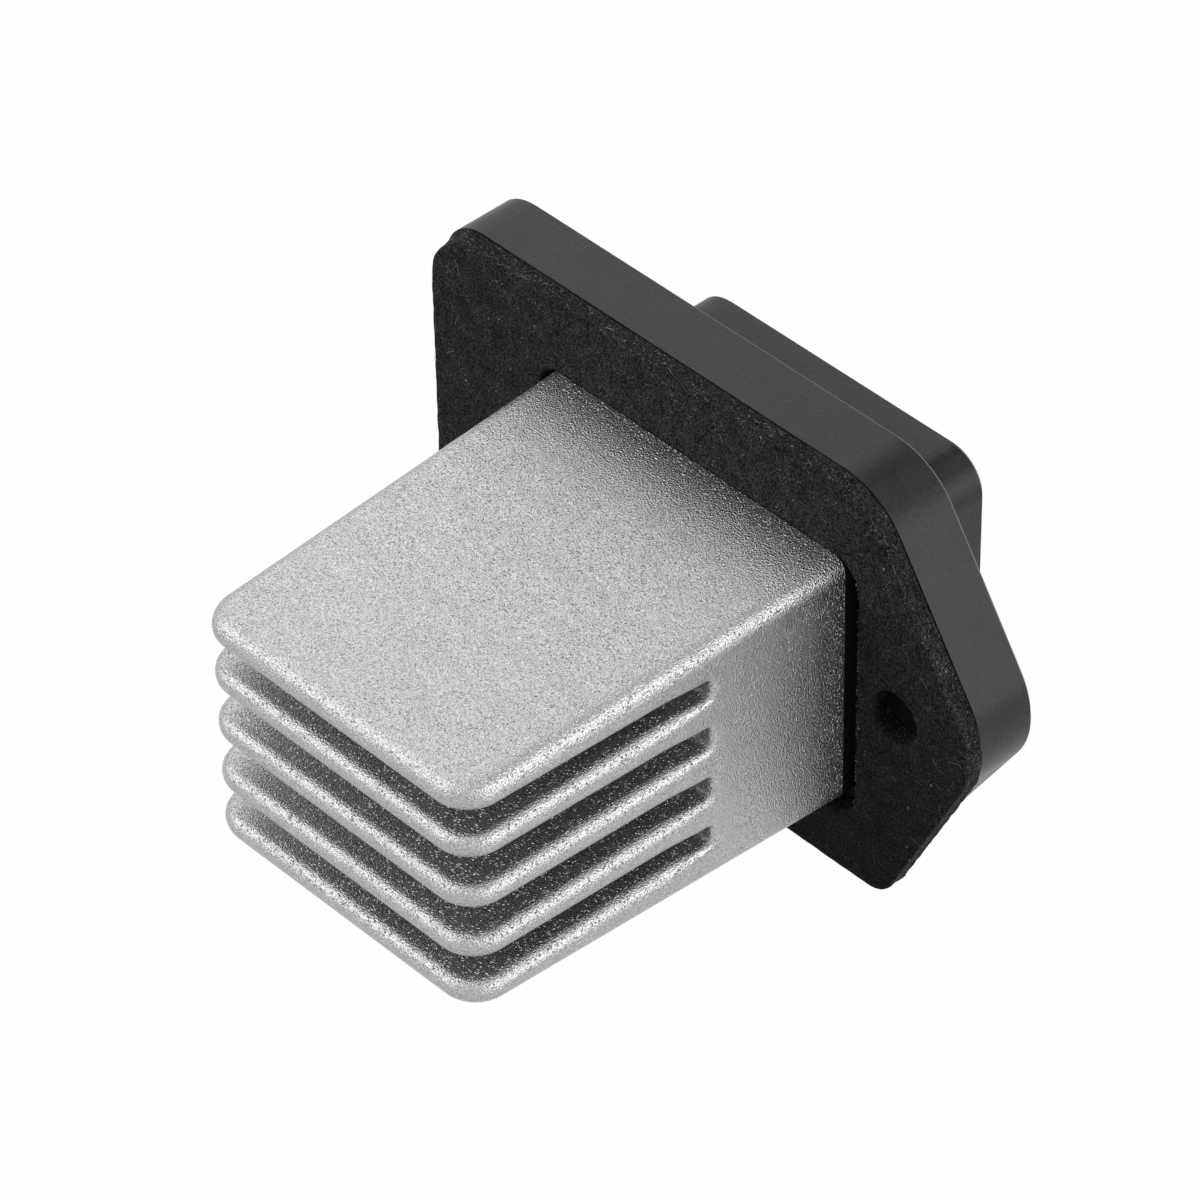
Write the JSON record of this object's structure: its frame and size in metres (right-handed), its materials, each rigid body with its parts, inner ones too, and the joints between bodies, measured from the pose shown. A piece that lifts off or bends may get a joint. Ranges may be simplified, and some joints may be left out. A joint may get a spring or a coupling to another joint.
{
  "type": "blower motor resistor",
  "caption": "Blower motor resistor with a finned die-cast heat sink, a black plastic flange, a foam gasket and a plug socket at the rear.",
  "frame": {"origin": "half way between the two mounting holes, on the flange face that takes the gasket", "axes": "+X towards the pointed ear, +Y towards the plug side, +Z across the fins, so the fins point along -Y"},
  "size_m": [0.0663, 0.0588, 0.043],
  "materials": {
    "cast_aluminium": "die-cast and shot-blasted",
    "black_plastic": "moulded, fine satin grain",
    "foam": "soft closed-cell foam with cut edges",
    "board_green": "solder mask",
    "tinned_blade": "tin-plated",
    "zinc_screw": "zinc-plated",
    "pad_grey": "soft and matte",
    "tinned_tab": "dull tin",
    "component_black": "moulded epoxy",
    "bush_white": "moulded nylon",
    "can_aluminium": "drawn can",
    "ceramic_brown": "sintered, unglazed"
  },
  "bodies": {
    "root": {"heat_sink": "cast_aluminium", "housing": "black_plastic", "foam_gasket": "foam", "circuit_board": "board_green", "power_blade_1": "tinned_blade", "power_blade_2": "tinned_blade", "signal_blade_1": "tinned_blade", "signal_blade_2": "tinned_blade", "signal_blade_3": "tinned_blade", "housing_screws": "zinc_screw", "thermal_pad": "pad_grey", "transistor_tab": "tinned_tab", "transistor_body": "component_black", "transistor_lead_1": "tinned_tab", "transistor_lead_2": "tinned_tab", "transistor_lead_3": "tinned_tab", "insulating_bush": "bush_white", "tab_screw": "zinc_screw", "capacitor_base": "component_black", "capacitor_can": "can_aluminium", "suppressor_diode": "component_black", "diode_leads": "tinned_tab", "driver_chip": "component_black", "driver_chip_leads": "tinned_tab", "shunt_strip": "tinned_tab", "ceramic_capacitor_1": "ceramic_brown", "ceramic_capacitor_2": "ceramic_brown", "chip_resistor_1": "component_black", "chip_resistor_2": "component_black", "chip_resistor_3": "component_black", "chip_resistor_4": "component_black"}
  },
  "joints": []
}
